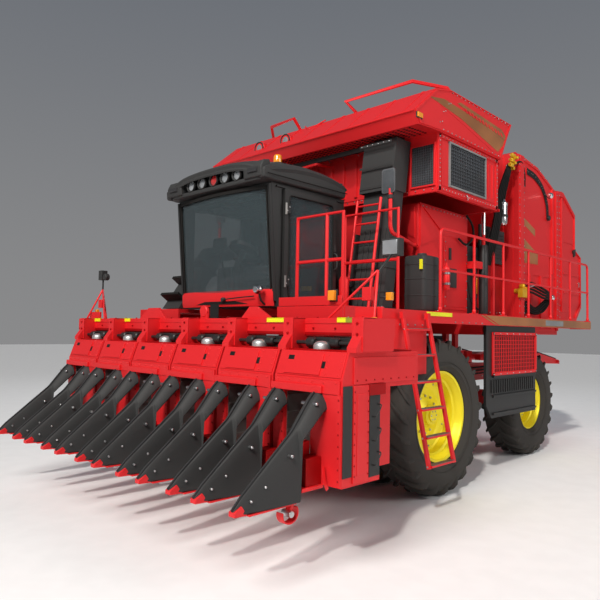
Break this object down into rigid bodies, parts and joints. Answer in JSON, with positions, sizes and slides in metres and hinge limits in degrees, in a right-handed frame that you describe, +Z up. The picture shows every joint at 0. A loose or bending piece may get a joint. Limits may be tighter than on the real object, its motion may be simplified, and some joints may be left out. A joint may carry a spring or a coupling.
{
  "type": "cotton picker machine",
  "caption": "Self-propelled cotton picker: front row units with crop dividers, glazed cab, raised hopper, rear module chamber with gate, dual drive wheels and steered rear wheels.",
  "frame": {"origin": "on the ground under the middle of the bounding box", "axes": "+Z up, -Y forward, +X to the left of the machine, +Y to its rear; metres"},
  "size_m": [5.354, 9.98, 5.2934],
  "materials": {
    "red_paint": "glossy saturated red machine paint",
    "black_paint": "satin black paint",
    "black_plastic": "moulded black plastic",
    "yellow_paint": "bright yellow rim paint",
    "tyre_rubber": "dusty lugged tyre rubber",
    "tinted_glass": "dark tinted cab glass",
    "seat_fabric": "woven dark seat cloth",
    "engine_iron": "painted cast iron"
  },
  "bodies": {
    "chassis": {"access_ladder": "red_paint", "cab_frame": "black_paint", "cab_roof": "black_plastic", "deck_left": "red_paint", "deck_right": "red_paint", "engine_block": "engine_iron", "front_axle": "black_paint", "handrail_left": "red_paint", "handrail_right": "red_paint", "hopper_ladder": "red_paint", "hydraulic_tank": "black_plastic", "lower_hopper": "red_paint", "main_frame": "red_paint", "mirror_left": "red_paint", "mirror_right": "red_paint", "module_chamber": "red_paint", "rear_axle": "red_paint", "rear_window": "tinted_glass", "right_window": "tinted_glass", "seat_back": "seat_fabric", "seat_cushion": "seat_fabric", "seat_pedestal": "black_plastic", "suction_ducts": "black_plastic", "water_tank": "black_plastic", "wheel_guard_left": "black_paint", "wheel_guard_right": "black_paint", "windscreen": "tinted_glass"},
    "header": {"header_beam": "red_paint", "header_lift_arms": "red_paint", "unit_cabinet_1": "red_paint", "unit_cabinet_2": "red_paint", "unit_cabinet_3": "red_paint", "unit_cabinet_4": "red_paint", "unit_cabinet_5": "red_paint", "unit_cabinet_6": "red_paint", "unit_dividers_1": "black_plastic", "unit_dividers_2": "black_plastic", "unit_dividers_3": "black_plastic", "unit_dividers_4": "black_plastic", "unit_dividers_5": "black_plastic", "unit_dividers_6": "black_plastic"},
    "cab_door": {"cab_door": "black_paint", "door_glass": "tinted_glass"},
    "hopper": {"upper_hopper": "red_paint", "hopper_roof": "red_paint", "duct_sleeves": "black_plastic"},
    "rear_gate": {"rear_gate": "red_paint"},
    "module_handler": {"module_handler": "red_paint"},
    "front_left_wheel": {"front_left_wheel": "yellow_paint", "front_left_inner_tyre": "tyre_rubber", "front_left_outer_tyre": "tyre_rubber"},
    "front_right_wheel": {"front_right_wheel": "yellow_paint", "front_right_inner_tyre": "tyre_rubber", "front_right_outer_tyre": "tyre_rubber"},
    "rear_left_knuckle": {"rear_left_knuckle": "black_paint"},
    "rear_right_knuckle": {"rear_right_knuckle": "black_paint"},
    "rear_left_wheel": {"rear_left_wheel": "yellow_paint", "rear_left_tyre": "tyre_rubber"},
    "rear_right_wheel": {"rear_right_wheel": "yellow_paint", "rear_right_tyre": "tyre_rubber"}
  },
  "joints": [
    {"name": "header_lift", "type": "hinge", "parent": "chassis", "child": "header", "pos_m": [0, -1.71, 1.35], "axis": [-1, 0, 0], "range_deg": [-10, 6]},
    {"name": "cab_door_hinge", "type": "hinge", "parent": "chassis", "child": "cab_door", "pos_m": [0.9, -3.12, 2.93], "axis": [0, 0, -1], "range_deg": [0, 75]},
    {"name": "hopper_lift", "type": "slide", "parent": "chassis", "child": "hopper", "axis": [0, 0, 1], "range_m": [-0.4, 0]},
    {"name": "rear_gate_hinge", "type": "hinge", "parent": "chassis", "child": "rear_gate", "pos_m": [0, 3.195, 4.66], "axis": [1, 0, 0], "range_deg": [0, 65]},
    {"name": "handler_hinge", "type": "hinge", "parent": "chassis", "child": "module_handler", "pos_m": [0, 3.58, 1.5], "axis": [-1, 0, 0], "range_deg": [0, 45]},
    {"name": "front_left_spin", "type": "hinge", "parent": "chassis", "child": "front_left_wheel", "pos_m": [1.62, -1.26, 0.955], "axis": [1, 0, 0], "continuous": true},
    {"name": "front_right_spin", "type": "hinge", "parent": "chassis", "child": "front_right_wheel", "pos_m": [-1.62, -1.26, 0.955], "axis": [1, 0, 0], "continuous": true},
    {"name": "rear_left_steer", "type": "hinge", "parent": "chassis", "child": "rear_left_knuckle", "pos_m": [0.92, 2.11, 0.86], "axis": [0, 0, 1], "range_deg": [-25, 25]},
    {"name": "rear_left_spin", "type": "hinge", "parent": "rear_left_knuckle", "child": "rear_left_wheel", "pos_m": [1.27, 2.11, 0.86], "axis": [1, 0, 0], "continuous": true},
    {"name": "rear_right_steer", "type": "hinge", "parent": "chassis", "child": "rear_right_knuckle", "pos_m": [-0.92, 2.11, 0.86], "axis": [0, 0, 1], "range_deg": [-25, 25]},
    {"name": "rear_right_spin", "type": "hinge", "parent": "rear_right_knuckle", "child": "rear_right_wheel", "pos_m": [-1.27, 2.11, 0.86], "axis": [1, 0, 0], "continuous": true}
  ],
  "couplings": [
    {"joint": "rear_right_steer", "follows": "rear_left_steer", "ratio": 1}
  ]
}
